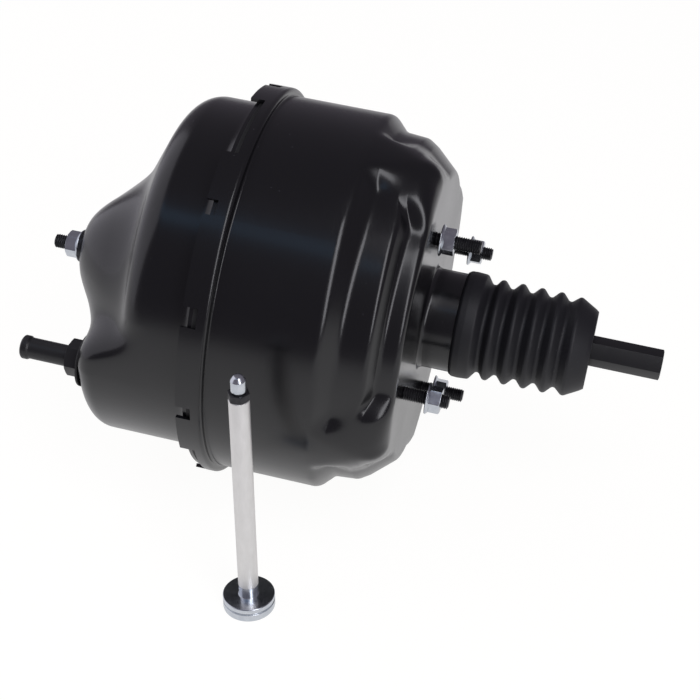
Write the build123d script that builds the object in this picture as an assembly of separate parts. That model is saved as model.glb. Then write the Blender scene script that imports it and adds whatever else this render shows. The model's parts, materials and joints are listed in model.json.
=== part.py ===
from build123d import *
from math import acos, asin, atan2, cos, degrees, hypot, radians, sin
import os

# A tandem brake booster lying on the floor beside its loose push rod.
# All lengths are in mm. The booster is drawn along its own axis first: z = 0 is the
# seam between the shells, +z runs towards the pedal, x and y are the directions of
# the rear stud pattern. It is then laid down, with the centre of the rear face at 0.

sheet = 2.0
slack = 0.02

# Rear shell: the body radius and the rear face drive both shells and what is in them
body_r = 107.6
rear_face = 98.0
collar_r = body_r + 4.2
collar_front = -14.4
collar_corner = 2.5
taper_start = rear_face - 41.0
taper_end = rear_face - 12.0
lobe_r = body_r - 3.6
rear_corner = 12.5
dent_half = 30.0
recess_half = 40.0
step_half = 32.6
dent_r = body_r - 8.2
step_r = body_r - 18.1

# Slots in the collar, three of each kind: first angle, width, rearward depth
slot_kinds = 4
slot_pitch = 30.0
first_slot = 42.3
cut_out_width = 49.0
small_slot_width = 5.0
large_slot_width = 11.0
end_slot_width = 8.5
deep_slot_end = collar_front + 8.2
small_slot_end = collar_front + 4.2
tab_width = 8.0
tab_thickness = 1.6
tab_reach = 3.4

# Front shell: its flange lies inside the collar
flange_r = collar_r - sheet - 0.5
flange_front = collar_front + 3.2
flare = 6.0
front_r = flange_r - flare - 3.3
shoulder = 15.7
pad_face = -93.3
cone_r = front_r - 8.6
cone_z = pad_face + 41.7
cone_slope = 0.457
cone_floor_r = 45.0
lobe_face = pad_face + 16.0
lobe_root = cone_z + 21.6
lobe_edge = 11.0
lobe_start = 121.0

# Studs and the nuts on them
stud_r = 4.0
stud_hole_r = stud_r + 0.2
stud_head_r = stud_r + 2.5
stud_head_height = 3.5
stud_point = 0.8
rear_stud_offset = 42.5
rear_stud_end = rear_face + 25.2
front_stud_offset = 42.5
front_stud_end = pad_face - 17.7
nut_flats = 13.0
nut_height = 8.0
nut_flange_r = nut_flats / 2 + 2.3
nut_flange_height = 1.6
rear_nut_lifts = [3.0, 7.0, 11.5, 13.0]
washer_r = nut_flange_r + 0.3
washer_height = 2.0

# Push rod head, and what takes it: the pilot hole, the front seal and the valve body's bore
head_r = 14.0
head_gap = 0.15
pilot_r = head_r + 6.0

# Pad that takes the master cylinder; its domed flanks spread all round, and lean to the lobe
pad_centre_r = pilot_r + 5.5
pad_end_r = 16.0
pad_end_offset = front_stud_offset - 7.5
flank_drop = 38.8
flank_spread = 33.0
flank_lean = 36.0
flank_power = 1.48
flank_thinning = 0.6
flank_bands = 3

# Plates inside the shells that carry the studs
stud_plate = 3.0
plate_end_r = stud_r + 3.0
rear_plate_outer_r = rear_stud_offset * hypot(1, 1) + stud_head_r + 2.0

# Clamped stack behind the front flange
bead = 2.6
centre_plate_sheet = 1.5
centre_cylinder_r = front_r
centre_disc_z = 10.0
rubber = 1.6
rear_bead = 2.8
skin_gap = 0.2

# Power piston: the tube slides in the divider seal, the tail in the neck
rod_bore_r = head_r + head_gap
valve_tube_r = rod_bore_r + 5.85
valve_tube_start = -14.0
divider_r = valve_tube_r + 4.0
seal_gap = 0.3
plate_sheet = 1.5
front_plate_z = -4.0
front_plate_r = centre_cylinder_r - 10.0
rear_plate_z = rear_face - 48.0
rear_plate_r = body_r - 12.6
hub_r = valve_tube_r + 6.0
hub_flange_r = hub_r + 4.0
hub_flange = 4.0
hub_end = rear_face - 10.0
shoulder_ring_r = valve_tube_r + 2.2
tail_r = valve_tube_r + 1.0
tail_bore_r = tail_r - 4.0
web_end = rear_face + 1.0
channel_r = 2.5
channel_offset = 11.5
disc_height = 6.0
disc_r = head_r
plunger_r = 6.0
plunger_gap = 0.04
plunger_end = rear_face + 10.0
plunger_head_r = 9.0
plunger_head = 6.5
plunger_travel = 2.0
key_thickness = 3.0
key_half_length = hub_r + 5.0
key_width = 12.0
key_groove_r = plunger_r - 1.6
poppet_start = plunger_end + 1.0
poppet_end = poppet_start + 15.0
poppet_inner_r = 8.0
poppet_sleeve_r = tail_bore_r - 3.0
poppet_lip = 2.5

# Neck of the rear shell, with the seal and the bush that the tail slides in
neck_r = tail_r + 7.3
neck_end = rear_face + 26.0
neck_bend = 5.0
rear_plate_inner_r = neck_r + 5.7
seal_start = rear_face + 5.0
seal_end = seal_start + 10.0
bush_start = seal_end + 1.0
bush_end = neck_end - 1.0

# Rubber boot: cuff over the neck, five folds, and an end that covers the tail
boot_wall = 1.7
boot_cuff_start = neck_end - 7.9
boot_cuff_end = neck_end + 3.0
boot_cuff_r = neck_r + 2.1
boot_folds = 5
boot_pitch = 11.05
boot_first_ridge = boot_cuff_end + 9.1
boot_ridge_r = neck_r + 1.8
boot_taper = 0.15
boot_last_ridge_r = neck_r + 0.1
boot_valley_r = tail_r + 2.75
boot_bend = 1.6
boot_cuff_bend = 0.6
boot_end = boot_first_ridge + (boot_folds - 1) * boot_pitch + 11.0
boot_end_r = tail_r + 1.75
boot_hole_r = 15.2
tail_end = boot_end - 3.8

# Input rod and the filter round it
ball_r = 4.5
ball_z = plunger_end - 3.5
rod_r = 5.0
rod_neck_r = 2.2
rod_neck_end = plunger_end + 4.0
filter_end = tail_end - 7.5
filter_start = filter_end - 28.0
filter_inner_r = 10.0
silencer_start = filter_start - 2.5
rod_collar = 2.0
rod_collar_z = silencer_start - 1.5 - rod_collar
rod_collar_r = tail_bore_r - 2.8

# Springs: wire, mean radius, turns; the wire is eight-sided
return_wire = 4.0
return_mean_r = valve_tube_r + return_wire / 2 + 0.6
return_turns = 5
poppet_wire = 1.2
poppet_mean_r = poppet_sleeve_r - 3.4
poppet_turns = 4
rod_spring_wire = 1.6
rod_spring_mean_r = rod_collar_r - 1.2
rod_spring_turns = 4

# Hex rod end with its threaded hole
hex_flats = 15.0
hex_start = boot_end - 7.3
hex_end = hex_start + 46.8
thread_r = 4.35
thread_depth = 16.0
rod_depth = 26.0

# Hose connector and its grommet
hose_radius = front_r - 20.0
hose_angle = 140.0
hose_hole_r = 9.0
grommet_flange_r = 15.0
grommet_flange = 1.6
grommet_inner_flange_r = hose_hole_r + 2.5
grommet_lip = 3.0
grommet_bend = 1.2
connector_collar_r = 11.0
connector_collar = 1.2
connector_flats = 18.2
connector_hex = 7.0
connector_tube_r = 6.0
connector_barb_r = connector_tube_r + 0.7
connector_bore_r = 3.8
connector_end = lobe_face - 37.5
connector_inner_end = lobe_face + 9.0

# Loose push rod, standing upright: its place from the rear face, and its heights
push_x = -65.6
push_y = -145.5
head_height = 8.4
head_edge = 0.6
head_groove_z = 4.4
head_groove = 1.0
rod_collar_top = head_height + 6.9
push_tube_r = 5.4
push_tube_top = 136.7
lock_nut_flats = 10.0
lock_nut_height = 5.0
tip_r = 4.0
tip_thread_r = tip_r - 1.0
tip_height = 10.3
tip_shank = 26.0
push_rod_length = push_tube_top + lock_nut_height + tip_height

# How the booster lies: it has rolled about its axis and rests on the collar and on
# the corner of a rear lobe, which sets the slope of the axis.
roll = 33.3
lobe_slope = (body_r - lobe_r) / (taper_end - taper_start)
corner_z = rear_face - rear_corner
corner_r = body_r - lobe_slope * (corner_z - taper_start) - rear_corner * hypot(1, lobe_slope)
fall = collar_r - collar_corner - corner_r
reach = corner_z + collar_corner
slope = degrees(acos((rear_corner - collar_corner) / hypot(fall, reach)) - atan2(reach, fall))
floor_drop = (collar_r - collar_corner) * cos(radians(slope)) + collar_corner
floor_drop -= (rear_face + collar_corner) * sin(radians(slope))
axis_way = Vector(cos(radians(slope)), 0, -sin(radians(slope)))
up_way = Vector(sin(radians(slope)) * cos(radians(roll)), sin(radians(roll)), cos(radians(slope)) * cos(radians(roll)))
lying = Plane(origin=axis_way * -rear_face, x_dir=up_way, z_dir=axis_way)
upright = Plane(origin=(push_x, push_y, -floor_drop), x_dir=(1, 0, 0), z_dir=(0, 0, 1))

flange_back = flange_front + sheet
front_bead_end = flange_back + bead
rear_bead_end = -sheet - 0.1
rear_bead_start = rear_bead_end - rear_bead
key_z = rear_face - sheet - 0.1 - key_thickness


def spin(points, rounding=0.0, arc=360.0, start=0.0):
    # A closed outline of (radius, height) points turned round the axis.
    outline = FilletPolyline(*points, radius=rounding, close=True) if rounding else Polyline(*points, close=True)
    return Rot(0, 0, start) * revolve(Plane.XZ * make_face(outline), Axis.Z, arc)


def tube(outer, inner, low, high):
    return spin([(inner, low), (outer, low), (outer, high), (inner, high)])


def rod(radius, low, high):
    return Pos(0, 0, low) * Cylinder(radius, high - low, align=(Align.CENTER, Align.CENTER, Align.MIN))


def hexagon(flats, low, high):
    face = RegularPolygon(flats / 2, 6, major_radius=False)
    return Pos(0, 0, low) * extrude(face, high - low)


def bulge(solid, low, high, across):
    # Trims the corners of a hexagon at both ends with shallow cones.
    height = high - low
    trim = spin([(0, low), (across, low), (across + height, low + height * 0.5), (across, high), (0, high)])
    return solid & trim


def spring(wire, mean_r, low, high, turns):
    start = low + wire / 2
    rise = high - low - wire
    path = Helix(rise / turns, rise, mean_r)
    section = Plane(origin=(mean_r, 0, 0), z_dir=path % 0) * RegularPolygon(wire / 2, 8)
    return Pos(0, 0, start) * sweep(section, path, is_frenet=True)


def sector(outline, grow, centre, half):
    # A tool that cuts a pressed dent: its outline grown by the sheet for the inside.
    face = make_face(outline)
    if grow:
        face = offset(face, amount=grow)
        half += degrees(asin(grow / dent_r))
    return Rot(0, 0, centre - half) * revolve(Plane.XZ * face, Axis.Z, 2 * half)


def rear_form(inset):
    rim = collar_r - inset
    wall = body_r - inset
    back = rear_face - inset
    edge = wall - lobe_slope * (back - taper_start)
    points = [(0, collar_front - inset), (rim, collar_front - inset), (rim, -inset), (wall, -inset)]
    points += [(wall, taper_start), (edge, back), (0, back)]
    form = spin(points, [0, 0, collar_corner - inset, 0, 0, rear_corner - inset, 0])
    far = collar_r + 8.2
    past = rear_face + 8.0
    edge = rear_face + 0.2
    dent = [(far, rear_face - 52.6), (dent_r, rear_face - 32.5), (dent_r - 1.1, rear_face - 19.0)]
    dent += [(dent_r - 4.7, rear_face - 13.4), (dent_r - 14.9, rear_face - 1.9), (dent_r - 20.9, edge)]
    dent += [(dent_r - 20.9, past), (far, past)]
    dent = FilletPolyline(*dent, radius=[0, 4, 3, 0, 3, 0, 0, 0], close=True)
    recess = [(far, rear_face - 52.3), (dent_r - 0.4, rear_face - 31.5), (dent_r - 1.0, past), (far, past)]
    recess = FilletPolyline(*recess, radius=[0, 4, 0, 0], close=True)
    step = [(far, rear_face - 15.9), (step_r + 11.0, rear_face - 15.9), (step_r, rear_face - 10.8)]
    step += [(step_r - 0.5, rear_face - 2.6), (step_r - 3.1, edge), (step_r - 3.1, past), (far, past)]
    step = FilletPolyline(*step, radius=[0, 0, 3, 2, 0, 0, 0], close=True)
    for side in (0, 180):
        form -= sector(dent, inset, side, dent_half)
        form -= sector(recess, inset, side + 90, recess_half)
        form -= sector(step, inset, side + 90, step_half)
    return form


def collar_cut(centre, width, end):
    half = degrees(width / 2 / collar_r)
    inner = front_r + 4.0
    outer = collar_r + 4.2
    face = Polyline((inner, collar_front - 1), (outer, collar_front - 1), (outer, end), (inner, end), close=True)
    return sector(face, 0, centre, half)


def rear_shell():
    shell = rear_form(0) - rear_form(sheet)
    neck = [(neck_r - sheet, rear_face - sheet), (neck_r - sheet, neck_end), (neck_r, neck_end)]
    neck += [(neck_r, rear_face), (neck_r + neck_bend, rear_face), (neck_r + neck_bend, rear_face - sheet)]
    shell -= rod(neck_r + neck_bend / 2, rear_face - 5, rear_face + 5)
    shell += spin(neck, [0, 0, 0.8, 3.0, 0, 0])
    for x in (-rear_stud_offset, rear_stud_offset):
        for y in (-rear_stud_offset, rear_stud_offset):
            shell -= Pos(x, y, 0) * rod(stud_hole_r, rear_face - 5, rear_face + 5)
    kinds = [(cut_out_width, deep_slot_end), (small_slot_width, small_slot_end)]
    kinds += [(large_slot_width, deep_slot_end), (end_slot_width, deep_slot_end)]
    for turn in range(3):
        for kind in range(slot_kinds):
            width, end = kinds[kind]
            centre = first_slot + slot_pitch * (kind + turn * slot_kinds)
            shell -= collar_cut(centre, width, end)
        edge = first_slot + slot_pitch * (2 + turn * slot_kinds) + degrees(large_slot_width / 2 / collar_r)
        inner = collar_r - sheet - tab_reach
        outer = collar_r - sheet / 2
        front = flange_front - 0.05 - tab_thickness
        points = [(inner, front), (outer, front), (outer, front + tab_thickness), (inner, front + tab_thickness)]
        shell += spin(points, 0, degrees(tab_width / collar_r), edge)
    return shell


def cone_height(radius, inset):
    return cone_z + cone_slope * (radius - cone_r) + inset * hypot(1, cone_slope)


def pad_outline(share, inset):
    # Three circles in a row; further down the flank they are wider, and the middle one
    # is drawn out towards the lobe.
    spread = flank_spread * share - inset * flank_thinning * share ** 0.5
    middle = pad_centre_r + spread
    circles = CenterArc((0, 0), middle, 0, 360).edges()
    if share > 0:
        circles += CenterArc((-flank_lean * share, 0), middle, 0, 360).edges()
    for side in (-1, 1):
        circles += CenterArc((0, side * pad_end_offset), pad_end_r + spread, 0, 360).edges()
    return Pos(0, 0, pad_face + inset + flank_drop * share ** flank_power) * make_hull(circles)


def front_form(inset):
    wall = front_r - inset
    floor = cone_height(cone_floor_r, inset)
    seat = flange_front + inset
    points = [(0, floor), (cone_floor_r, floor), (wall, cone_height(wall, inset)), (wall, seat)]
    points += [(flange_r + inset, seat), (flange_r + inset, flange_back + inset / 2), (0, flange_back + inset / 2)]
    form = spin(points, [0, 0, shoulder - inset, flare + inset, 0, 0, 0])
    face = lobe_face + inset
    shift = degrees(asin(inset / hose_radius))
    lobe = [(0, face), (wall, face), (wall, lobe_root), (0, lobe_root)]
    arc = 360 - 2 * lobe_start - 2 * shift
    form += spin(lobe, [0, lobe_edge - inset, 0, 0], arc, lobe_start + shift)
    outlines = [pad_outline(band / flank_bands, inset) for band in range(flank_bands + 1)]
    for upper, lower in zip(outlines, outlines[1:]):
        form += loft([upper, lower], ruled=True)
    return form


def hose_place(solid):
    angle = radians(hose_angle)
    return Pos(hose_radius * cos(angle), hose_radius * sin(angle), 0) * solid


def front_shell():
    shell = front_form(0) - front_form(sheet)
    shell -= rod(pilot_r, pad_face - 5, pad_face + 5)
    for side in (-1, 1):
        shell -= Pos(0, side * front_stud_offset, 0) * rod(stud_hole_r, pad_face - 5, pad_face + 5)
    shell -= hose_place(rod(hose_hole_r, lobe_face - 5, lobe_face + 5))
    return shell


def centre_plate():
    front = front_bead_end + 0.1
    outer = centre_cylinder_r
    inner = outer - centre_plate_sheet
    back = centre_disc_z + centre_plate_sheet
    hole = divider_r - 1.0
    points = [(inner, front), (flange_r, front), (flange_r, front + centre_plate_sheet)]
    points += [(outer, front + centre_plate_sheet), (outer, back), (hole, back), (hole, centre_disc_z)]
    points += [(inner, centre_disc_z)]
    return spin(points)


def divider_seal():
    inner = valve_tube_r + seal_gap
    hole = divider_r - 1.0
    low = centre_disc_z
    high = centre_disc_z + centre_plate_sheet
    points = [(inner, low - 3), (divider_r + 2, low - 3), (divider_r + 2, low), (hole, low), (hole, high)]
    points += [(divider_r + 2, high), (divider_r + 2, high + 2), (inner, high + 2)]
    return spin(points)


def front_diaphragm():
    bore = valve_tube_r + 0.05
    disc = front_plate_z + plate_sheet
    outer = centre_cylinder_r - centre_plate_sheet - skin_gap
    inner = front_plate_r + 1.4
    top = centre_disc_z - 2.0
    points = [(bore, disc), (inner + rubber, disc), (inner + rubber, top - rubber), (outer - rubber, top - rubber)]
    points += [(outer - rubber, flange_back), (flange_r, flange_back), (flange_r, front_bead_end)]
    points += [(outer, front_bead_end), (outer, top), (inner, top), (inner, disc + rubber), (bore, disc + rubber)]
    return spin(points)


def rear_diaphragm():
    bore = hub_r + 0.05
    disc = rear_plate_z + plate_sheet
    outer = body_r - sheet - skin_gap
    inner = rear_plate_r + 2.2
    top = disc + 2 * rubber
    points = [(bore, disc), (inner + rubber, disc), (inner + rubber, disc + rubber), (outer - rubber, disc + rubber)]
    points += [(outer - rubber, rear_bead_start), (flange_r, rear_bead_start), (flange_r, rear_bead_end)]
    points += [(outer, rear_bead_end), (outer, top), (inner, top), (inner, disc + rubber), (bore, disc + rubber)]
    return spin(points)


def support_plate(bore, rim, low):
    # A pressed disc with a shallow stiffening ring.
    high = low + plate_sheet
    ring = (bore + rim) / 2
    points = [(bore, low), (ring - 9, low), (ring - 6, low - 3), (ring + 6, low - 3), (ring + 9, low), (rim, low)]
    points += [(rim, high), (ring + 8.2, high), (ring + 5.2, high - 3), (ring - 5.2, high - 3), (ring - 8.2, high)]
    points += [(bore, high)]
    return spin(points)


def valve_body():
    disc_end = rear_plate_z - hub_flange
    points = [(rod_bore_r, valve_tube_start), (valve_tube_r, valve_tube_start)]
    ring = front_plate_z + plate_sheet + rubber
    points += [(valve_tube_r, ring), (shoulder_ring_r, ring), (shoulder_ring_r, ring + 2), (valve_tube_r, ring + 2)]
    points += [(valve_tube_r, disc_end), (hub_flange_r, disc_end), (hub_flange_r, rear_plate_z)]
    points += [(hub_r, rear_plate_z), (hub_r, hub_end), (tail_r, hub_end), (tail_r, tail_end)]
    floor = reaction_floor()
    points += [(tail_bore_r, tail_end), (tail_bore_r, web_end), (plunger_r + plunger_gap, web_end)]
    points += [(plunger_r + plunger_gap, floor), (rod_bore_r, floor)]
    body = spin(points)
    high = key_thickness + 0.1
    body -= Pos(0, 0, key_z + key_thickness / 2) * Box(key_width + 0.1, 3 * hub_r, high)
    for side in (-1, 1):
        body -= Pos(side * channel_offset, 0, 0) * rod(channel_r, floor - 1, web_end + 1)
    return body


def reaction_floor():
    return rear_plate_z - hub_flange + 1 + disc_height


def reaction_disc():
    return rod(disc_r, reaction_floor() - disc_height, reaction_floor())


def valve_plunger():
    # At full travel its tip just clears the disc, and the key still lies in its groove.
    start = reaction_floor() + plunger_travel + 0.2
    head = plunger_end - plunger_head
    groove = key_z - 0.05
    groove_end = groove + key_thickness + plunger_travel + 0.1
    points = [(0, start), (plunger_r - 1.5, start), (plunger_r - 1.5, start + 1.0), (plunger_r, start + 1.0)]
    points += [(plunger_r, groove), (key_groove_r, groove), (key_groove_r, groove_end)]
    points += [(plunger_r, groove_end), (plunger_r, head), (plunger_head_r, head)]
    points += [(plunger_head_r, plunger_end), (0, plunger_end)]
    solid = spin(points)
    solid -= Pos(0, 0, ball_z) * Sphere(ball_r + 0.05)
    return solid


def retaining_key():
    # A fork slid in from one side; its slot straddles the groove of the plunger.
    centre = key_z + key_thickness / 2
    key = Pos(0, 0, centre) * Box(key_width, 2 * key_half_length, key_thickness)
    slot = 2 * (key_groove_r + slack)
    key -= Pos(0, key_half_length / 2, centre) * Box(slot, key_half_length + 1, key_thickness + 1)
    key -= rod(key_groove_r + slack, key_z - 1, key_z + key_thickness + 1)
    return key


def input_rod():
    end = hex_start + rod_depth
    top = rod_collar_z + rod_collar
    points = [(0, ball_z), (rod_neck_r, ball_z), (rod_neck_r, rod_neck_end - 2), (rod_r, rod_neck_end + 1)]
    points += [(rod_r, rod_collar_z), (rod_collar_r, rod_collar_z), (rod_collar_r, top), (rod_r, top)]
    points += [(rod_r, end), (0, end)]
    return spin(points) + Pos(0, 0, ball_z) * Sphere(ball_r)


def hex_rod_end():
    solid = bulge(hexagon(hex_flats, hex_start, hex_end), hex_start, hex_end, hex_flats / 2 + 0.35)
    solid -= rod(rod_r + slack, hex_start - 1, hex_start + rod_depth + slack)
    solid -= rod(thread_r, hex_end - thread_depth, hex_end + 1)
    return solid


def poppet_valve():
    high = poppet_start + poppet_lip
    points = [(poppet_inner_r, poppet_start), (poppet_sleeve_r, poppet_start)]
    points += [(poppet_sleeve_r, poppet_end - 3), (tail_bore_r - slack, poppet_end - 3)]
    points += [(tail_bore_r - slack, poppet_end), (poppet_sleeve_r - 1.5, poppet_end), (poppet_sleeve_r - 1.5, high)]
    points += [(poppet_inner_r, high)]
    return spin(points)


def air_filter():
    return tube(tail_bore_r - 0.05, filter_inner_r, filter_start, filter_end)


def silencer():
    return tube(tail_bore_r - 0.05, filter_inner_r + 0.6, silencer_start, filter_start)


def neck_seal():
    outer = neck_r - sheet - slack
    lip = tail_r + seal_gap
    points = [(outer, seal_start), (outer, seal_end), (lip + 1.2, seal_end), (lip, seal_end - 1.5)]
    points += [(lip, seal_end - 3.5), (lip + 1.8, seal_end - 4.5), (lip + 1.8, seal_start + 3), (lip, seal_start)]
    return spin(points)


def neck_bush():
    return tube(neck_r - sheet - slack, tail_r + 0.05, bush_start, bush_end)


def boot_path(inset):
    # Outline of the boot's skin from the cuff to the end, (radius, height).
    path = [(boot_cuff_r - inset, boot_cuff_start), (boot_cuff_r - inset, boot_cuff_end)]
    valley = (boot_cuff_end + boot_first_ridge) / 2
    for fold in range(boot_folds):
        ridge = boot_last_ridge_r if fold == boot_folds - 1 else boot_ridge_r - fold * boot_taper
        path.append((boot_valley_r - inset, valley))
        path.append((ridge - inset, boot_first_ridge + fold * boot_pitch))
        valley = boot_first_ridge + (fold + 0.5) * boot_pitch
    return path


def dust_boot():
    outer = boot_path(0)
    inner = boot_path(boot_wall)
    inner_end = tail_end + 0.4
    outer += [(boot_end_r + 0.6, boot_end - 2.0), (boot_end_r - 0.8, boot_end), (boot_hole_r, boot_end)]
    outer += [(boot_hole_r, inner_end), (tail_r + 0.05, inner_end), (tail_r + 0.05, tail_end - 2.8)]
    points = outer + inner[::-1]
    corners = [boot_cuff_bend, boot_cuff_bend] + [boot_bend, boot_bend] * boot_folds
    corners += [boot_cuff_bend, boot_cuff_bend] + [0] * (len(points) - len(outer) + 4)
    return spin(points, corners)


def flange_nut(stud, low, way):
    # The flange faces the shell; way is +1 when the hexagon points to the pedal.
    hexa = bulge(hexagon(nut_flats, 0, nut_height), 0, nut_height, nut_flats / 2 + 0.3)
    base = spin([(0, 0), (nut_flange_r, 0), (nut_flange_r, 0.7), (nut_flats / 2, nut_flange_height + 0.6),
                 (0, nut_flange_height + 0.6)])
    nut = hexa + base - rod(stud_r + slack, -1, nut_height + 1)
    if way < 0:
        nut = Rot(180, 0, 0) * nut
    return Pos(stud[0], stud[1], low) * nut


def rear_places():
    side = rear_stud_offset
    return [(side, side), (-side, -side), (side, -side), (-side, side)]


def front_places():
    return [(0, front_stud_offset), (0, -front_stud_offset)]


def rear_nuts():
    return [flange_nut(place, rear_face + lift, 1) for place, lift in zip(rear_places(), rear_nut_lifts)]


def front_nuts():
    return [flange_nut(place, pad_face - washer_height, -1) for place in front_places()]


def front_washers():
    ring = tube(washer_r, stud_r + 0.2, pad_face - washer_height, pad_face)
    return [Pos(x, y, 0) * ring for x, y in front_places()]


def rear_studs():
    head = rear_face - sheet - stud_plate
    points = [(0, head - stud_head_height), (stud_head_r, head - stud_head_height), (stud_head_r, head)]
    points += [(stud_r, head), (stud_r, rear_stud_end - stud_point), (stud_r - stud_point, rear_stud_end)]
    points += [(0, rear_stud_end)]
    return [Pos(x, y, 0) * spin(points) for x, y in rear_places()]


def front_studs():
    head = pad_face + sheet + stud_plate
    points = [(0, head + stud_head_height), (stud_head_r, head + stud_head_height), (stud_head_r, head)]
    points += [(stud_r, head), (stud_r, front_stud_end + stud_point), (stud_r - stud_point, front_stud_end)]
    points += [(0, front_stud_end)]
    return [Pos(x, y, 0) * spin(points) for x, y in front_places()]


def front_stud_plate():
    low = pad_face + sheet
    circles = CenterArc((0, 0), pad_centre_r - sheet / 2, 0, 360).edges()
    circles += CenterArc((0, front_stud_offset), plate_end_r, 0, 360).edges()
    circles += CenterArc((0, -front_stud_offset), plate_end_r, 0, 360).edges()
    plate = Pos(0, 0, low) * extrude(make_hull(circles), stud_plate)
    plate -= rod(pilot_r, low - 1, low + stud_plate + 1)
    for x, y in front_places():
        plate -= Pos(x, y, 0) * rod(stud_r + 0.1, low - 1, low + stud_plate + 1)
    return plate


def rear_stud_plate():
    high = rear_face - sheet
    plate = tube(rear_plate_outer_r, rear_plate_inner_r, high - stud_plate, high)
    for x, y in rear_places():
        plate -= Pos(x, y, 0) * rod(stud_r + 0.1, high - stud_plate - 1, high + 1)
    return plate


def front_seal():
    inner = head_r + 1.0
    back = pad_face + sheet + stud_plate
    points = [(inner, pad_face + 0.5), (pilot_r - slack, pad_face + 0.5), (pilot_r - slack, back)]
    points += [(pilot_r + 0.4, back), (pilot_r + 0.4, back + 2), (inner, back + 2)]
    return spin(points)


def hose_grommet():
    bore = connector_tube_r + 0.5
    front = lobe_face - grommet_flange
    back = lobe_face + sheet
    points = [(bore, front), (grommet_flange_r, front), (grommet_flange_r, lobe_face)]
    points += [(hose_hole_r - slack, lobe_face), (hose_hole_r - slack, back), (grommet_inner_flange_r, back)]
    points += [(grommet_inner_flange_r - 1.5, back + grommet_lip), (bore, back + grommet_lip)]
    return hose_place(spin(points, [0, grommet_bend, 0, 0, 0, 0, 0, 0]))


def hose_connector():
    flange = lobe_face - grommet_flange
    collar = flange - connector_collar
    end = collar - connector_hex
    solid = tube(connector_tube_r + 0.5 - slack, connector_bore_r, flange, connector_inner_end)
    solid += tube(connector_collar_r, connector_bore_r, collar, flange)
    nut = bulge(hexagon(connector_flats, end, collar), end, collar, connector_flats / 2 + 0.4)
    solid += nut - rod(connector_bore_r, end - 1, collar + 1)
    top = connector_end
    small = connector_tube_r
    big = connector_barb_r
    points = [(connector_bore_r, end), (small, end), (small, top + 5.0), (big, top + 3.6), (big, top + 1.6)]
    points += [(small - 0.6, top), (connector_bore_r, top)]
    solid += spin(points)
    return hose_place(solid)


def push_rod_head():
    points = [(0, 0), (head_r - head_edge, 0), (head_r, head_edge), (head_r, head_groove_z)]
    points += [(head_r - 0.8, head_groove_z + 0.2)]
    points += [(head_r - 0.8, head_groove_z + head_groove), (head_r, head_groove_z + head_groove + 0.2)]
    points += [(head_r, head_height - 0.5), (head_r - 0.5, head_height), (push_tube_r - 0.05, head_height)]
    points += [(push_tube_r - 0.05, rod_collar_top), (0, rod_collar_top)]
    return spin(points)


def push_rod_tube():
    solid = rod(push_tube_r, rod_collar_top, push_tube_top)
    return solid - rod(tip_thread_r + slack, push_tube_top - tip_shank - 6, push_tube_top + 1)


def push_rod_lock_nut():
    top = push_tube_top + lock_nut_height
    nut = bulge(hexagon(lock_nut_flats, push_tube_top, top), push_tube_top, top, lock_nut_flats / 2 + 0.25)
    return nut - rod(tip_thread_r + slack, push_tube_top - 1, top + 1)


def push_rod_tip_screw():
    low = push_tube_top + lock_nut_height
    points = [(0, low - tip_shank), (tip_thread_r, low - tip_shank), (tip_thread_r, low), (tip_r, low)]
    points += [(tip_r, push_rod_length), (0, push_rod_length)]
    return spin(points, [0, 0, 0, 0, tip_r * 0.7, 0])


def save(name, shape, frame=lying):
    pieces = shape if isinstance(shape, list) else [shape]
    placed = [frame.location * piece for piece in pieces]
    export_step(placed[0] if len(placed) == 1 else Compound(placed), "parts/" + name + ".step")


os.makedirs("parts", exist_ok=True)
save("front_shell", front_shell())
save("rear_shell", rear_shell())
save("centre_plate", centre_plate())
save("divider_seal", divider_seal())
save("front_diaphragm", front_diaphragm())
save("rear_diaphragm", rear_diaphragm())
save("front_support_plate", support_plate(valve_tube_r + slack, front_plate_r, front_plate_z))
save("rear_support_plate", support_plate(hub_r + slack, rear_plate_r, rear_plate_z))
save("valve_body", valve_body())
save("reaction_disc", reaction_disc())
save("valve_plunger", valve_plunger())
save("retaining_key", retaining_key())
save("input_rod", input_rod())
save("hex_rod_end", hex_rod_end())
save("poppet_valve", poppet_valve())
save("air_filter", air_filter())
save("silencer", silencer())
save("neck_seal", neck_seal())
save("neck_bush", neck_bush())
save("dust_boot", dust_boot())
spring_seat = pad_face + sheet + stud_plate
save("return_spring", spring(return_wire, return_mean_r, spring_seat, front_plate_z, return_turns))
save("poppet_spring", spring(poppet_wire, poppet_mean_r, poppet_start + 2.6, poppet_end, poppet_turns))
save("rod_return_spring", spring(rod_spring_wire, rod_spring_mean_r, poppet_end + 0.05, rod_collar_z - 0.05,
                                 rod_spring_turns))
save("rear_stud_plate", rear_stud_plate())
save("front_stud_plate", front_stud_plate())
save("rear_studs", rear_studs())
save("front_studs", front_studs())
save("rear_nuts", rear_nuts())
save("front_nuts", front_nuts())
save("front_washers", front_washers())
save("front_seal", front_seal())
save("hose_grommet", hose_grommet())
save("hose_connector", hose_connector())
save("push_rod_head", push_rod_head(), upright)
save("push_rod_tube", push_rod_tube(), upright)
save("push_rod_lock_nut", push_rod_lock_nut(), upright)
save("push_rod_tip_screw", push_rod_tip_screw(), upright)
print("axis slope", round(slope, 2), "floor below the rear face's centre", round(floor_drop, 2))
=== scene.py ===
import json
import math

import bmesh
import bpy
import numpy as np
from mathutils import Matrix, Vector


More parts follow.
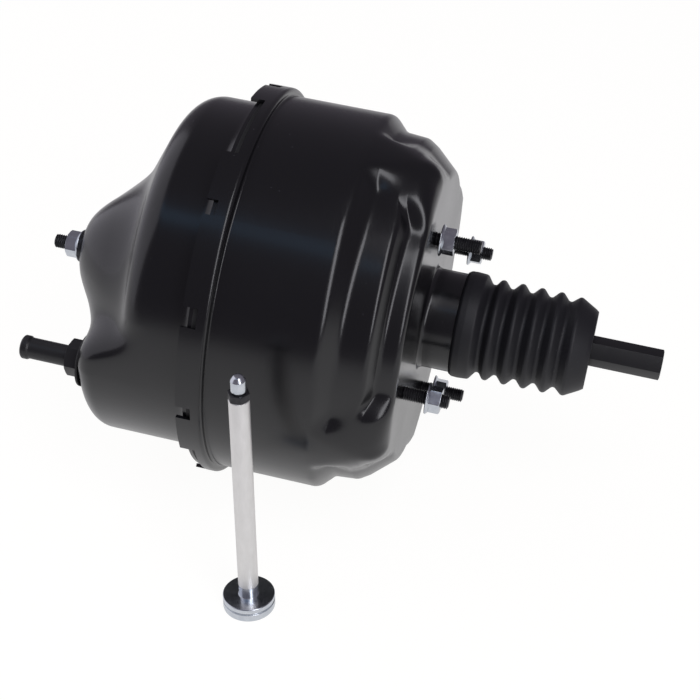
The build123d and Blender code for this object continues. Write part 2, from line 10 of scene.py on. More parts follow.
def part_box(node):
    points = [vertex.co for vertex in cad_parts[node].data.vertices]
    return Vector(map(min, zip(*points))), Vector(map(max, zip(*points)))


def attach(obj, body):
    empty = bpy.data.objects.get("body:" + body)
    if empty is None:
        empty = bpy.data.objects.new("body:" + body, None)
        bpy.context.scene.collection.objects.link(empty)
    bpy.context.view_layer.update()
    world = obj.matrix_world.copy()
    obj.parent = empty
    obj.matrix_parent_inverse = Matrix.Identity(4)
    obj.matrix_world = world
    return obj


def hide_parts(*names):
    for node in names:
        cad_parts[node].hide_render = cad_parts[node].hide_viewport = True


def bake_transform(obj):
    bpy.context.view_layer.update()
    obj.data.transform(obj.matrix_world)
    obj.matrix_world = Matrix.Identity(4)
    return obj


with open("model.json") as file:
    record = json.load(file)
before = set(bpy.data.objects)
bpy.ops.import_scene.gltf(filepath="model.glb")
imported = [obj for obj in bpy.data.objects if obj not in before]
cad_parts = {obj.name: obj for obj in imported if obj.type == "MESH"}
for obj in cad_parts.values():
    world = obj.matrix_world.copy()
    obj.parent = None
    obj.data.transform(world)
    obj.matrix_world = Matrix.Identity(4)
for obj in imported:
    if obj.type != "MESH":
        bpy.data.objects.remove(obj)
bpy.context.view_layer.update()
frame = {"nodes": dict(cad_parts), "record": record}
record = frame["record"]
print("frame loaded:", len(frame["nodes"]), "nodes")

# The booster is shaped in its own axes, in mm, and then laid down as the CAD lies:
# local x runs to the upper stud pair, z along the axis to the pedal, 0 at the seam.
lie = {"roll": 33.3, "rearFace": 98.0}
axisWay = Vector(next(m["axis"] for m in record["mounts"] if m["name"] == "rear_studs")).normalized()
rollAngle = math.radians(lie["roll"])
slopeAngle = math.asin(-axisWay.z)
studWay = Vector((math.sin(slopeAngle) * math.cos(rollAngle), math.sin(rollAngle),
                  math.cos(slopeAngle) * math.cos(rollAngle)))
sideWay = axisWay.cross(studWay)


def lyingMatrix():
    rows = [[studWay[i] / 1000, sideWay[i] / 1000, axisWay[i] / 1000, -axisWay[i] * lie["rearFace"] / 1000]
            for i in range(3)]
    return Matrix(rows + [[0, 0, 0, 1]])


def uprightMatrix():
    low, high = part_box("push_rod_head")
    centre = (low + high) / 2
    return Matrix.Translation((centre.x, centre.y, low.z)) @ Matrix.Scale(0.001, 4)


lying = lyingMatrix()
upright = uprightMatrix()


# Small helpers for building by hand
handwork = {"mergeDistance": 0.0005, "leastTurn": 0.02, "plainRadius": 50, "normalWeight": 80}


def clearSelection():
    if bpy.context.mode != "OBJECT":
        bpy.ops.object.mode_set(mode="OBJECT")
    bpy.ops.object.select_all(action="DESELECT")


def takeUp(piece):
    clearSelection()
    piece.select_set(True)
    bpy.context.view_layer.objects.active = piece


def applyAll(piece):
    takeUp(piece)
    for modifier in list(piece.modifiers):
        bpy.ops.object.modifier_apply(modifier=modifier.name)


def carve(piece, tool, operation):
    # works out a boolean, with any modifier that waits on the piece, and drops the tool
    cut = piece.modifiers.new("cut", "BOOLEAN")
    cut.operation = operation
    cut.object = tool
    applyAll(piece)
    bpy.data.objects.remove(tool)


def cleaned(piece, mergeDistance):
    # joins doubled vertices, where a distance is given, and turns every face outward
    takeUp(piece)
    bpy.ops.object.mode_set(mode="EDIT")
    bpy.ops.mesh.select_all(action="SELECT")
    if mergeDistance > 0:
        bpy.ops.mesh.remove_doubles(threshold=mergeDistance)
    bpy.ops.mesh.normals_make_consistent(inside=False)
    bpy.ops.object.mode_set(mode="OBJECT")


def settle(piece, place, smoothAngle, weighed=False):
    # bakes the place into the mesh and shades the piece; weighed keeps flats beside bevels even
    takeUp(piece)
    piece.data.transform(place)
    if place.determinant() < 0:
        piece.data.flip_normals()
    bpy.ops.object.shade_smooth_by_angle(angle=math.radians(smoothAngle))
    if weighed:
        even = piece.modifiers.new("even", "WEIGHTED_NORMAL")
        even.keep_sharp = True
        even.weight = handwork["normalWeight"]
        applyAll(piece)
    return piece


def joinPieces(pieces, name):
    clearSelection()
    for piece in pieces:
        piece.select_set(True)
    bpy.context.view_layer.objects.active = pieces[0]
    bpy.ops.object.join()
    joined = bpy.context.object
    joined.name = name
    return joined


def cornerArc(corners, i, bends):
    # the points of one corner's rounding, and the angle by which the line turns there
    r, z, rounding = corners[i]
    here = Vector((r, z))
    back = (Vector(corners[i - 1][:2]) - here).normalized()
    ahead = (Vector(corners[i + 1][:2]) - here).normalized()
    turn = max(math.pi - back.angle(ahead), 1e-4)
    reach = rounding * math.tan(turn / 2)
    middle = back + ahead
    if middle.length < 1e-6:
        middle = Vector((-back.y, back.x))
    centre = here + middle.normalized() * math.hypot(rounding, reach)
    start = here + back * reach - centre
    side = 1 if back.x * ahead.y - back.y * ahead.x < 0 else -1
    arc = []
    for k in range(bends + 1):
        c, s = math.cos(turn * k / bends * side), math.sin(turn * k / bends * side)
        arc.append(centre + Vector((start.x * c - start.y * s, start.x * s + start.y * c)))
    return arc, turn


def roundedLine(corners, bends):
    # points along a line of (radius, height, rounding) corners
    points = []
    for i, (r, z, rounding) in enumerate(corners):
        here = Vector((r, z))
        if i in (0, len(corners) - 1) or rounding <= 0:
            points.append(here)
            continue
        arc, turn = cornerArc(corners, i, bends)
        points += [here] if turn < handwork["leastTurn"] else arc
    return points


def matchedLine(corners, bends, fills):
    # like roundedLine, but always with the same number of points
    last = len(corners) - 1
    arcs = [cornerArc(corners, i, bends)[0] for i in range(1, last)]
    arcs = [[Vector(corners[0][:2])]] + arcs + [[Vector(corners[last][:2])]]
    points = []
    for i, arc in enumerate(arcs):
        points += arc
        if i < last:
            start, end = arc[-1], arcs[i + 1][0]
            points += [start.lerp(end, k / fills[i]) for k in range(1, fills[i])]
    return points


def spunPiece(name, points, steps, closed):
    # a drawn outline, given as a ring of vertices, is spun round the z axis
    clearSelection()
    bpy.ops.mesh.primitive_circle_add(vertices=len(points), radius=1)
    piece = bpy.context.object
    piece.name = name
    for vertex, point in zip(piece.data.vertices, points):
        vertex.co = (point[0], 0, point[1])
    bpy.ops.object.mode_set(mode="EDIT")
    if not closed:
        mesh = bmesh.from_edit_mesh(piece.data)
        mesh.verts.ensure_lookup_table()
        ends = {mesh.verts[0], mesh.verts[len(points) - 1]}
        loose = [edge for edge in mesh.edges if set(edge.verts) == ends]
        bmesh.ops.delete(mesh, geom=loose, context="EDGES_FACES")
        bmesh.update_edit_mesh(piece.data)
    bpy.ops.mesh.select_all(action="SELECT")
    bpy.ops.mesh.spin(steps=steps, angle=2 * math.pi, center=(0, 0, 0), axis=(0, 0, 1))
    cleaned(piece, handwork["mergeDistance"])
    return piece


def plainCone(name, rows, turns, rise):
    # a cone whose vertices name their own row by their height
    line = [(handwork["plainRadius"] + row, rise * row) for row in range(rows)]
    return spunPiece(name, line, turns, False)


def lathe(name, corners, steps=64, bends=4):
    # a solid of revolution whose outline starts and ends on the axis, or closes on itself
    onAxis = corners[0][0] < 1e-6
    points = roundedLine(corners if onAxis else corners + [corners[0]], bends)
    return spunPiece(name, points if onAxis else points[:-1], steps, not onAxis)


hexForm = {"edge": 0.18, "edgeSegments": 2, "riseShare": 0.45, "land": 0.1, "steps": 96, "boreSteps": 48}


def hexBar(name, flats, low, high, chamfer, bore=0):
    # a hexagon bar with turned corners at both ends and a bore; chamfer is their slope
    rise = min(flats / 2 * chamfer, (high - low) * hexForm["riseShare"])
    clearSelection()
    bpy.ops.mesh.primitive_cylinder_add(vertices=6, radius=flats / math.sqrt(3), depth=high - low,
                                        location=(0, 0, (low + high) / 2), rotation=(0, 0, math.radians(30)))
    bar = bpy.context.object
    bar.name = name
    bpy.ops.object.transform_apply(location=True, rotation=True, scale=True)
    bevel = bar.modifiers.new("edges", "BEVEL")
    bevel.width = hexForm["edge"]
    bevel.segments = hexForm["edgeSegments"]
    land = flats / 2 + hexForm["land"]
    wide = flats / 2 + rise / chamfer
    turned = [(0, low, 0), (land, low, 0), (wide, low + rise, 0), (wide, high - rise, 0), (land, high, 0),
              (0, high, 0)]
    carve(bar, lathe("turned", turned, hexForm["steps"]), "INTERSECT")
    if bore > 0:
        drill = [(0, low - 1, 0), (bore, low - 1, 0), (bore, high + 1, 0), (0, high + 1, 0)]
        carve(bar, lathe("drill", drill, hexForm["boreSteps"]), "DIFFERENCE")
    return bar


thread = {"rowsPerTurn": 6, "depth": 0.488, "flank": 1.25, "chamfer": 0.7, "steps": 32}


def threadedBar(name, radius, low, high, pitch):
    # a cylinder whose rows are pushed in and out along a screw line
    count = int((high - low) / pitch * thread["rowsPerTurn"])
    rows = [(radius, low + (high - low) * k / count) for k in range(count + 1)]
    bar = spunPiece(name, [(0, low), *rows, (0, high)], thread["steps"], False)
    for vertex in bar.data.vertices:
        flat = math.hypot(vertex.co.x, vertex.co.y)
        if flat < 1e-3:
            continue
        turn = math.atan2(vertex.co.y, vertex.co.x) / (2 * math.pi)
        wave = abs(((vertex.co.z / pitch - turn) % 1.0) - 0.5) * 2
        end = min(vertex.co.z - low, high - vertex.co.z)
        inward = thread["depth"] * pitch * min(1.0, wave * thread["flank"])
        inward += max(0.0, thread["chamfer"] - end)
        vertex.co.x *= (radius - inward) / flat
        vertex.co.y *= (radius - inward) / flat
    return bar


def dress(piece, body, material, nodeName):
    # gives the piece its material, hides the CAD node it stands for and, where a body is named, ties it to
    # that body
    piece.data.materials.clear()
    piece.data.materials.append(material)
    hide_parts(nodeName)
    if body:
        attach(piece, body)


def blendAlong(piece, bodies, low, high):
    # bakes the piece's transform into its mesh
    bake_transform(piece)


# Materials
def mathNode(tree, operation, *values):
    node = tree.nodes.new("ShaderNodeMath")
    node.operation = operation
    for socket, value in zip(node.inputs, values):
        if isinstance(value, float):
            socket.default_value = value
        else:
            tree.links.new(value, socket)
    return node.outputs[0]


def noiseNode(tree, place, scale, detail):
    cloud = tree.nodes.new("ShaderNodeTexNoise")
    cloud.inputs["Scale"].default_value = scale
    cloud.inputs["Detail"].default_value = detail
    tree.links.new(place, cloud.inputs["Vector"])
    return cloud.outputs["Fac"]


def bumpNormal(tree, shader, height, strength, distance):
    bump = tree.nodes.new("ShaderNodeBump")
    bump.inputs["Strength"].default_value = strength
    bump.inputs["Distance"].default_value = distance
    tree.links.new(height, bump.inputs["Height"])
    tree.links.new(bump.outputs["Normal"], shader.inputs["Normal"])


def mixColours(tree, factor, first, second):
    mix = tree.nodes.new("ShaderNodeMix")
    mix.data_type = "RGBA"
    mix.inputs["A"].default_value = (*first, 1)
    mix.inputs["B"].default_value = (*second, 1)
    tree.links.new(factor, mix.inputs["Factor"])
    return mix.outputs["Result"]


def mixShaders(tree, factor, first, second):
    mix = tree.nodes.new("ShaderNodeMixShader")
    tree.links.new(factor, mix.inputs["Fac"])
    tree.links.new(first, mix.inputs[1])
    tree.links.new(second, mix.inputs[2])
    return mix.outputs["Shader"]


def spread(tree, value, low, high, valueLow=0.0, valueHigh=1.0):
    ranged = tree.nodes.new("ShaderNodeMapRange")
    numbers = {"From Min": valueLow, "From Max": valueHigh, "To Min": low, "To Max": high}
    for label, number in numbers.items():
        ranged.inputs[label].default_value = number
    tree.links.new(value, ranged.inputs["Value"])
    return ranged.outputs["Result"]


dustLook = {"keptFrom": 0.72, "hazeScale": 22.0, "hazeDetail": 3.0}


def dustGroup():
    # small bright specks lying on a surface, and a slow change in how clean it is
    group = bpy.data.node_groups.new("dust", "ShaderNodeTree")
    group.interface.new_socket("Vector", in_out="INPUT", socket_type="NodeSocketVector")
    for label, way in (("Scale", "INPUT"), ("Amount", "INPUT"), ("Specks", "OUTPUT"), ("Haze", "OUTPUT")):
        group.interface.new_socket(label, in_out=way, socket_type="NodeSocketFloat")
    start = group.nodes.new("NodeGroupInput")
    end = group.nodes.new("NodeGroupOutput")
    link = group.links.new
    cells = group.nodes.new("ShaderNodeTexVoronoi")
    link(start.outputs["Vector"], cells.inputs["Vector"])
    link(start.outputs["Scale"], cells.inputs["Scale"])
    near = mathNode(group, "LESS_THAN", cells.outputs["Distance"], start.outputs["Amount"])
    pick = group.nodes.new("ShaderNodeSeparateColor")
    link(cells.outputs["Color"], pick.inputs[0])
    few = mathNode(group, "GREATER_THAN", pick.outputs[0], dustLook["keptFrom"])
    link(mathNode(group, "MULTIPLY", near, few), end.inputs["Specks"])
    haze = noiseNode(group, start.outputs["Vector"], dustLook["hazeScale"], dustLook["hazeDetail"])
    link(haze, end.inputs["Haze"])
    return group


dust = dustGroup()


def newMaterial(name):
    material = bpy.data.materials.new(name)
    material.use_nodes = True
    tree = material.node_tree
    place = tree.nodes.new("ShaderNodeTexCoord").outputs["Object"]
    return material, tree, tree.nodes["Principled BSDF"], place


def colourAndRoughness(tree, shader, colour, roughness):
    tree.links.new(colour, shader.inputs["Base Color"])
    tree.links.new(roughness, shader.inputs["Roughness"])


# what most paints, plastics and rubbers share, and what most metals share
plainLook = {
    "metallic": 0.0, "specular": 0.5, "coat": 0.0, "coatRough": 0.3, "peelDetail": 2.0, "peelDepth": 0.0005}
metalLook = {"metallic": 1.0, "bump": 0.1, "stretch": (1, 1, 1), "grainDetail": 4.0, "grainDepth": 0.0002}


def dustyPaint(name, ownLook):
    look = {**plainLook, **ownLook}
    material, tree, shader, place = newMaterial(name)
    specks = tree.nodes.new("ShaderNodeGroup")
    specks.node_tree = dust
    specks.inputs["Scale"].default_value = look["speckScale"]
    specks.inputs["Amount"].default_value = look["speckSize"]
    tree.links.new(place, specks.inputs["Vector"])
    colour = mixColours(tree, specks.outputs["Specks"], look["colour"], look["speckColour"])
    roughness = spread(tree, specks.outputs["Haze"], look["roughLow"], look["roughHigh"])
    colourAndRoughness(tree, shader, colour, roughness)
    peel = noiseNode(tree, place, look["peelScale"], look["peelDetail"])
    bumpNormal(tree, shader, peel, look["peel"], look["peelDepth"])
    shader.inputs["Metallic"].default_value = look["metallic"]
    shader.inputs["Specular IOR Level"].default_value = look["specular"]
    shader.inputs["Coat Weight"].default_value = look["coat"]
    shader.inputs["Coat Roughness"].default_value = look["coatRough"]
    return material


def metalFinish(name, ownLook):
    look = {**metalLook, **ownLook}
    material, tree, shader, place = newMaterial(name)
    mapping = tree.nodes.new("ShaderNodeMapping")
    mapping.inputs["Scale"].default_value = look["stretch"]
    tree.links.new(place, mapping.inputs["Vector"])
    grain = noiseNode(tree, mapping.outputs["Vector"], look["grainScale"], look["grainDetail"])
    colour = mixColours(tree, grain, look["dark"], look["bright"])
    roughness = spread(tree, grain, look["roughLow"], look["roughHigh"])
    colourAndRoughness(tree, shader, colour, roughness)
    bumpNormal(tree, shader, grain, look["bump"], look["grainDepth"])
    shader.inputs["Metallic"].default_value = look["metallic"]
    return material


shellPaint = dustyPaint("shellPaint", {
    "colour": (0.0045, 0.0045, 0.0055), "speckColour": (0.1, 0.1, 0.11), "speckScale": 230.0,
    "speckSize": 0.05, "roughLow": 0.2, "roughHigh": 0.3, "peelScale": 900.0, "peel": 0.03, "coat": 0.2,
    "coatRough": 0.14})
bootRubber = dustyPaint("bootRubber", {
    "colour": (0.0105, 0.0105, 0.013), "speckColour": (0.12, 0.12, 0.125), "speckScale": 420.0,
    "speckSize": 0.06, "roughLow": 0.42, "roughHigh": 0.58, "peelScale": 2200.0, "peel": 0.12,
    "specular": 0.42})
sealRubber = dustyPaint("sealRubber", {
    "colour": (0.016, 0.016, 0.016), "speckColour": (0.1, 0.1, 0.1), "speckScale": 420.0, "speckSize": 0.05,
    "roughLow": 0.5, "roughHigh": 0.65, "peelScale": 2200.0, "peel": 0.1, "specular": 0.4})
hosePlastic = dustyPaint("hosePlastic", {
    "colour": (0.014, 0.014, 0.015), "speckColour": (0.1, 0.1, 0.1), "speckScale": 600.0, "speckSize": 0.05,
    "roughLow": 0.33, "roughHigh": 0.45, "peelScale": 1800.0, "peel": 0.08})
hexPaint = dustyPaint("hexPaint", {
    "colour": (0.012, 0.012, 0.013), "speckColour": (0.1, 0.1, 0.1), "speckScale": 600.0, "speckSize": 0.05,
    "roughLow": 0.3, "roughHigh": 0.42, "peelScale": 1800.0, "peel": 0.08, "metallic": 0.2})
resin = dustyPaint("resin", {
    "colour": (0.05, 0.038, 0.026), "speckColour": (0.16, 0.13, 0.1), "speckScale": 500.0, "speckSize": 0.2,
    "roughLow": 0.4, "roughHigh": 0.55, "peelScale": 1500.0, "peel": 0.08})
bushNylon = dustyPaint("bushNylon", {
    "colour": (0.62, 0.61, 0.56), "speckColour": (0.5, 0.49, 0.45), "speckScale": 500.0, "speckSize": 0.1,
    "roughLow": 0.35, "roughHigh": 0.5, "peelScale": 1200.0, "peel": 0.05})
filterFelt = dustyPaint("filterFelt", {
    "colour": (0.6, 0.56, 0.46), "speckColour": (0.36, 0.33, 0.27), "speckScale": 900.0, "speckSize": 0.35,
    "roughLow": 0.85, "roughHigh": 1.0, "peelScale": 1600.0, "peel": 0.9, "specular": 0.2})
zincPlate = metalFinish("zincPlate", {
    "dark": (0.5, 0.54, 0.6), "bright": (0.78, 0.81, 0.84), "grainScale": 260.0, "roughLow": 0.16,
    "roughHigh": 0.32, "bump": 0.12})
blackOxide = metalFinish("blackOxide", {
    "dark": (0.02, 0.02, 0.022), "bright": (0.075, 0.075, 0.08), "grainScale": 500.0, "roughLow": 0.25,
    "roughHigh": 0.42, "metallic": 0.75})
innerSteel = metalFinish("innerSteel", {
    "dark": (0.36, 0.34, 0.26), "bright": (0.56, 0.53, 0.42), "grainScale": 160.0, "roughLow": 0.28,
    "roughHigh": 0.42})
springWire = metalFinish("springWire", {
    "dark": (0.2, 0.2, 0.22), "bright": (0.38, 0.38, 0.4), "grainScale": 400.0, "roughLow": 0.25,
    "roughHigh": 0.4})
drawnAluminium = metalFinish("drawnAluminium", {
    "dark": (0.78, 0.77, 0.75), "bright": (0.95, 0.94, 0.92), "grainScale": 120.0, "stretch": (3, 3, 1),
    "roughLow": 0.42, "roughHigh": 0.55, "bump": 0.25})

nodeMaterials = {
    "centre_plate": innerSteel, "divider_seal": sealRubber, "front_diaphragm": sealRubber,
    "rear_diaphragm": sealRubber, "front_support_plate": innerSteel, "rear_support_plate": innerSteel,
    "valve_body": resin, "reaction_disc": sealRubber, "valve_plunger": innerSteel,
    "retaining_key": innerSteel, "input_rod": innerSteel, "poppet_valve": sealRubber,
    "air_filter": filterFelt, "silencer": filterFelt, "neck_seal": sealRubber, "neck_bush": bushNylon,
    "poppet_spring": springWire, "rear_stud_plate": innerSteel, "front_stud_plate": innerSteel,
    "front_washers": blackOxide, "front_seal": sealRubber}
for nodeName, finish in nodeMaterials.items():
    node = frame["nodes"][nodeName]
    node.data.materials.clear()
    node.data.materials.append(finish)
print("materials ready")


# Rear shell. The meridians are given as (radius, height, rounding) corners behind the seam.
rearShell = {
    "collarRadius": 111.8, "collarFront": -14.4, "collarRows": (-12.3, -10.2, -8.2, -6.2, -4.2),
    "bodyRadius": 107.6, "bodyStart": 1.2, "seamBend": 2.4, "creaseBend": 1.1, "sheet": 2.0, "turns": 360,
    "lobe": ((107.6, 57.0, 20.0), (106.55, 65.5, 1.0), (104.9, 78.8, 1.0), (104.35, 83.2, 1.0),
             (102.5, 98.0, 12.3)),
    "dent": ((107.6, 57.5, 6.0), (99.4, 65.5, 6.0), (98.3, 79.0, 6.0), (94.7, 84.6, 6.0),
             (82.6, 98.0, 5.0)),
    "recess": ((107.6, 57.8, 6.0), (99.0, 66.5, 6.0), (98.7, 78.8, 1.0), (98.6, 83.2, 1.0),
               (98.2, 98.0, 9.0)),
    "step": ((107.6, 57.8, 6.0), (99.0, 66.5, 6.0), (98.5, 82.4, 3.6), (89.8, 87.3, 3.6),
             (88.9, 98.0, 3.6)),
    "neck": ((28.3, 98.0, 3.0), (28.3, 124.0, 0.0)),
    "bends": 6, "fills": (9, 4, 6, 3, 3, 12, 10),
    "dentHalf": 30.0, "recessHalf": 40.0, "stepHalf": 32.6, "nearSpread": 2.2, "farSpread": 10.0,
    "stepSpread": 3.6, "spreadFrom": 60.0, "spreadTo": 84.0,
    "slots": 12, "slotStart": 42.3, "slotPitch": 30.0, "slotWidths": (49.0, 8.6, 11.0, 8.5),
    "slotEnds": (-6.2, -8.2, -6.2, -6.2),
    "softFrom": 52.0, "softRise": 5.0, "softTo": 97.9, "softInside": 60.0, "softReach": 10.0,
    "softFade": 4.0, "softFactor": 0.5, "softPasses": 18, "edge": 0.45, "edgeSegments": 3,
    "edgeAngle": 50.0, "smoothAngle": 40}


def smoothStep(value):
    value = min(1.0, max(0.0, value))
    return value * value * (3 - 2 * value)


def windowed(angle, centres, half, spreadAngle):
    # 1 inside the pressed sector, 0 outside it, with a soft flank
    best = 0.0
    for centre in centres:
        away = abs((angle - centre + 180) % 360 - 180)
        best = max(best, smoothStep((half + spreadAngle - away) / (2 * spreadAngle)))
    return best


def rearProfiles():
    s = rearShell
    start = (s["bodyRadius"], s["bodyStart"], 0)
    lines = [[start, *s[kind], *s["neck"]] for kind in ("lobe", "dent", "recess", "step")]
    return [matchedLine(line, s["bends"], s["fills"]) for line in lines]


def collarLine():
    s = rearShell
    wide, body = s["collarRadius"], s["bodyRadius"]
    seam = roundedLine([(wide, s["collarRows"][-1], 0), (wide, 0.0, s["seamBend"]),
                        (body, 0.0, s["creaseBend"]), (body, s["bodyStart"], 0)], s["bends"])
    band = [(wide, z) for z in (s["collarFront"], *s["collarRows"])]
    return band + [tuple(point) for point in seam[1:-1]]


def collarSlots():
    # two angles for each slot, and how far back it reaches
    s = rearShell
    slots = []
    for count in range(s["slots"]):
        kind = count % len(s["slotWidths"])
        half = math.degrees(s["slotWidths"][kind] / 2 / s["collarRadius"])
        centre = s["slotStart"] + s["slotPitch"] * count
        slots.append((centre - half, centre + half, s["slotEnds"][kind]))
    return slots


def rearPoint(profiles, column, angle):
    # radius and height behind the seam, where dents, recesses and steps are pressed in
    s = rearShell
    far = smoothStep((profiles[0][column].y - s["spreadFrom"]) / (s["spreadTo"] - s["spreadFrom"]))
    side = s["nearSpread"] + (s["farSpread"] - s["nearSpread"]) * far
    dent = windowed(angle, (0, 180), s["dentHalf"], side)
    recess = windowed(angle, (90, 270), s["recessHalf"], side)
    step = windowed(angle, (90, 270), s["stepHalf"], s["stepSpread"])
    weights = (1 - dent - recess, dent, recess - step, step)
    return [sum(w * p[column][i] for w, p in zip(weights, profiles)) for i in (0, 1)]


def openSlots(shell, slots):
    # the slots are opened by deleting their faces
    takeUp(shell)
    bpy.ops.object.mode_set(mode="EDIT")
    bpy.ops.mesh.select_all(action="DESELECT")
    mesh = bmesh.from_edit_mesh(shell.data)
    deepest, inside = max(rearShell["slotEnds"]), rearShell["collarRadius"] - 1
    for face in mesh.faces:
        centre = face.calc_center_median()
        if centre.z > deepest or math.hypot(centre.x, centre.y) < inside:
            continue
        angle = math.degrees(math.atan2(centre.y, centre.x)) % 360
        for low, high, end in slots:
            away = abs((angle - (low + high) / 2 + 180) % 360 - 180)
            if away < (high - low) / 2 and centre.z < end:
                face.select_set(True)
    bmesh.update_edit_mesh(shell.data)
    bpy.ops.mesh.delete(type="FACE")
    bpy.ops.object.mode_set(mode="OBJECT")


def softenGroup(shell, name, factor, passes):
    group = shell.vertex_groups.new(name=name)
    soften = shell.modifiers.new(name, "SMOOTH")
    soften.vertex_group = name
    soften.factor = factor
    soften.iterations = passes
    return group


def softenSectorEnds(shell):
    # the ends of the pressed sectors are softened
    s = rearShell
    group = softenGroup(shell, "ends", s["softFactor"], s["softPasses"])
    for vertex in shell.data.vertices:
        x, y, z = vertex.co
        if z < s["softFrom"] or z > s["softTo"] or math.hypot(x, y) < s["softInside"]:
            continue
        angle = math.degrees(math.atan2(y, x)) % 180
        sides = (abs(min(angle, 180 - angle) - s["dentHalf"]),
                 abs(abs(angle - 90) - s["recessHalf"]), abs(abs(angle - 90) - s["stepHalf"]))
        share = smoothStep((s["softReach"] - min(sides)) / s["softFade"])
        share *= smoothStep((z - s["softFrom"]) / s["softRise"])
        if share > 0:
            group.add([vertex.index], share, "REPLACE")


def makeRearShell():
    s = rearShell
    profiles = rearProfiles()
    collar = collarLine()
    points = collar + [tuple(point) for point in profiles[0]]
    shell = plainCone("rearShell", len(points), s["turns"], 1)
    slots = collarSlots()
    lines = {round(edge % 360) % 360: edge % 360 for slot in slots for edge in slot[:2]}
    for vertex in shell.data.vertices:
        row = round(vertex.co.z)
        flat, z = points[row]
        angle = math.degrees(math.atan2(vertex.co.y, vertex.co.x)) % 360
        angle = lines.get(round(angle) % 360, angle)
        if row >= len(collar):
            flat, z = rearPoint(profiles, row - len(collar), angle)
        vertex.co = (flat * math.cos(math.radians(angle)), flat * math.sin(math.radians(angle)), z)
    openSlots(shell, slots)
    softenSectorEnds(shell)
    wall = shell.modifiers.new("sheet", "SOLIDIFY")
    wall.thickness = s["sheet"]
    wall.offset = -1
    wall.use_even_offset = True
    bevel = shell.modifiers.new("edges", "BEVEL")
    bevel.width = s["edge"]
    bevel.segments = s["edgeSegments"]
    bevel.angle_limit = math.radians(s["edgeAngle"])
    applyAll(shell)
    settle(shell, lying, s["smoothAngle"], True)
    dress(shell, "booster_body", shellPaint, "rear_shell")


makeRearShell()
print("rear shell made")

# Front shell
frontShell = {
    "radius": 100.0, "flangeRadius": 109.3, "flangeFront": -11.2, "flangeBack": -9.2, "flare": 6.0,
    "flareBends": 6, "shoulder": 15.7, "coneRadius": 91.4, "coneHeight": 51.6, "coneSlope": 0.457,
    "coneFloor": 45.0,
    "lobeHeight": 77.3, "lobeEdge": 11.0, "lobeStart": 121.0, "lobeSpread": 6.4,
    "padHeight": 93.3, "padCentre": 25.5, "padEnd": 16.0, "padOffset": 35.0,
    "flankDrop": 38.8, "flankPower": 1.48, "flankSpreads": (33.7, 32.0, 69.4), "melt": 11.7,
    "flankReach": 19.0, "flankFade": 6.0, "flankFrom": 30.0, "flankRise": 12.0, "flankInside": 45.0,
    "flankOut": 20.0, "flankFactor": 0.5, "flankPasses": 90,
    "pilot": 20.0, "samples": 500, "crowding": 0.8, "turns": 360, "rows": 120, "sheet": 2.0,
    "smoothAngle": 50}


def softMax(a, b, k):
    return np.maximum(a, b) + np.maximum(k - np.abs(a - b), 0) ** 2 / (4 * k)


def padDistance(x, y):
    # signed distance to the pad's outline, which is three circles in a row
    f = frontShell
    across, along = np.abs(x), np.abs(y)
    bend = (f["padCentre"] - f["padEnd"]) / f["padOffset"]
    slant = math.sqrt(1 - bend * bend)
    share = across * -bend + along * slant
    nearCentre = np.hypot(across, along) - f["padCentre"]
    nearEnd = np.hypot(across, along - f["padOffset"]) - f["padEnd"]
    flank = across * slant + along * bend - f["padCentre"]
    return np.where(share < 0, nearCentre, np.where(share > slant * f["padOffset"], nearEnd, flank))


def frontHeight(r, angle):
    # how far the front skin stands ahead of the seam at a radius and an angle
    f = frontShell
    shoulder, edge = f["shoulder"], f["lobeEdge"]
    inner = f["radius"] - shoulder
    lean = math.atan(f["coneSlope"])
    touch = inner + shoulder * math.sin(lean)
    base = f["coneHeight"] + f["coneSlope"] * (f["coneRadius"] - touch) - shoulder * math.cos(lean)
    arc = base + np.sqrt(np.maximum(shoulder ** 2 - np.maximum(r - inner, 0) ** 2, 0))
    cone = f["coneHeight"] + f["coneSlope"] * (f["coneRadius"] - np.maximum(r, f["coneFloor"]))
    recess = np.where(r > touch, arc, cone)
    rim = f["radius"] - edge
    lobe = f["lobeHeight"] - edge + np.sqrt(np.maximum(edge ** 2 - np.maximum(r - rim, 0) ** 2, 0))
    turned = abs((math.degrees(angle) + 180) % 360 - 180)
    side = r * math.sin(math.radians(min(turned - f["lobeStart"], 90)))
    share = np.clip((side + f["lobeSpread"]) / (2 * f["lobeSpread"]), 0, 1)
    share = share * share * (3 - 2 * share)
    height = recess * (1 - share) + lobe * share
    x, y = r * math.cos(angle), r * math.sin(angle)
    upper, beside, lower = f["flankSpreads"]
    reach = beside * math.sin(angle) ** 2 + (upper if math.cos(angle) > 0 else lower) * math.cos(angle) ** 2
    share = np.maximum(padDistance(x, y), 0) / reach
    fall = np.where(share < 1, share ** f["flankPower"], 1 + f["flankPower"] * (share - 1))
    return np.minimum(softMax(height, f["padHeight"] - f["flankDrop"] * fall, f["melt"]), f["padHeight"])


def frontLine(angle):
    # one meridian from the flange to the pilot hole, evenly divided
    f = frontShell
    wide, flare, front = f["radius"], f["flare"], f["flangeFront"]
    lead = [(f["flangeRadius"], f["flangeBack"]), (f["flangeRadius"], front), (wide + flare, front)]
    for k in range(1, f["flareBends"]):
        swing = math.pi / 2 * k / f["flareBends"]
        lead.append((wide + flare - flare * math.sin(swing), front - flare + flare * math.cos(swing)))
    u = np.linspace(0, 1, f["samples"])
    r = f["pilot"] + (wide - f["pilot"]) * np.cos(u * math.pi / 2) ** f["crowding"]
    r[0] = wide
    z = -frontHeight(r, angle)
    r = np.concatenate([[wide], r])
    z = np.concatenate([[front - flare], z])
    along = np.concatenate([[0], np.cumsum(np.hypot(np.diff(r), np.diff(z)))])
    even = np.linspace(0, along[-1], f["rows"])
    return lead + list(zip(np.interp(even, along, r), np.interp(even, along, z)))


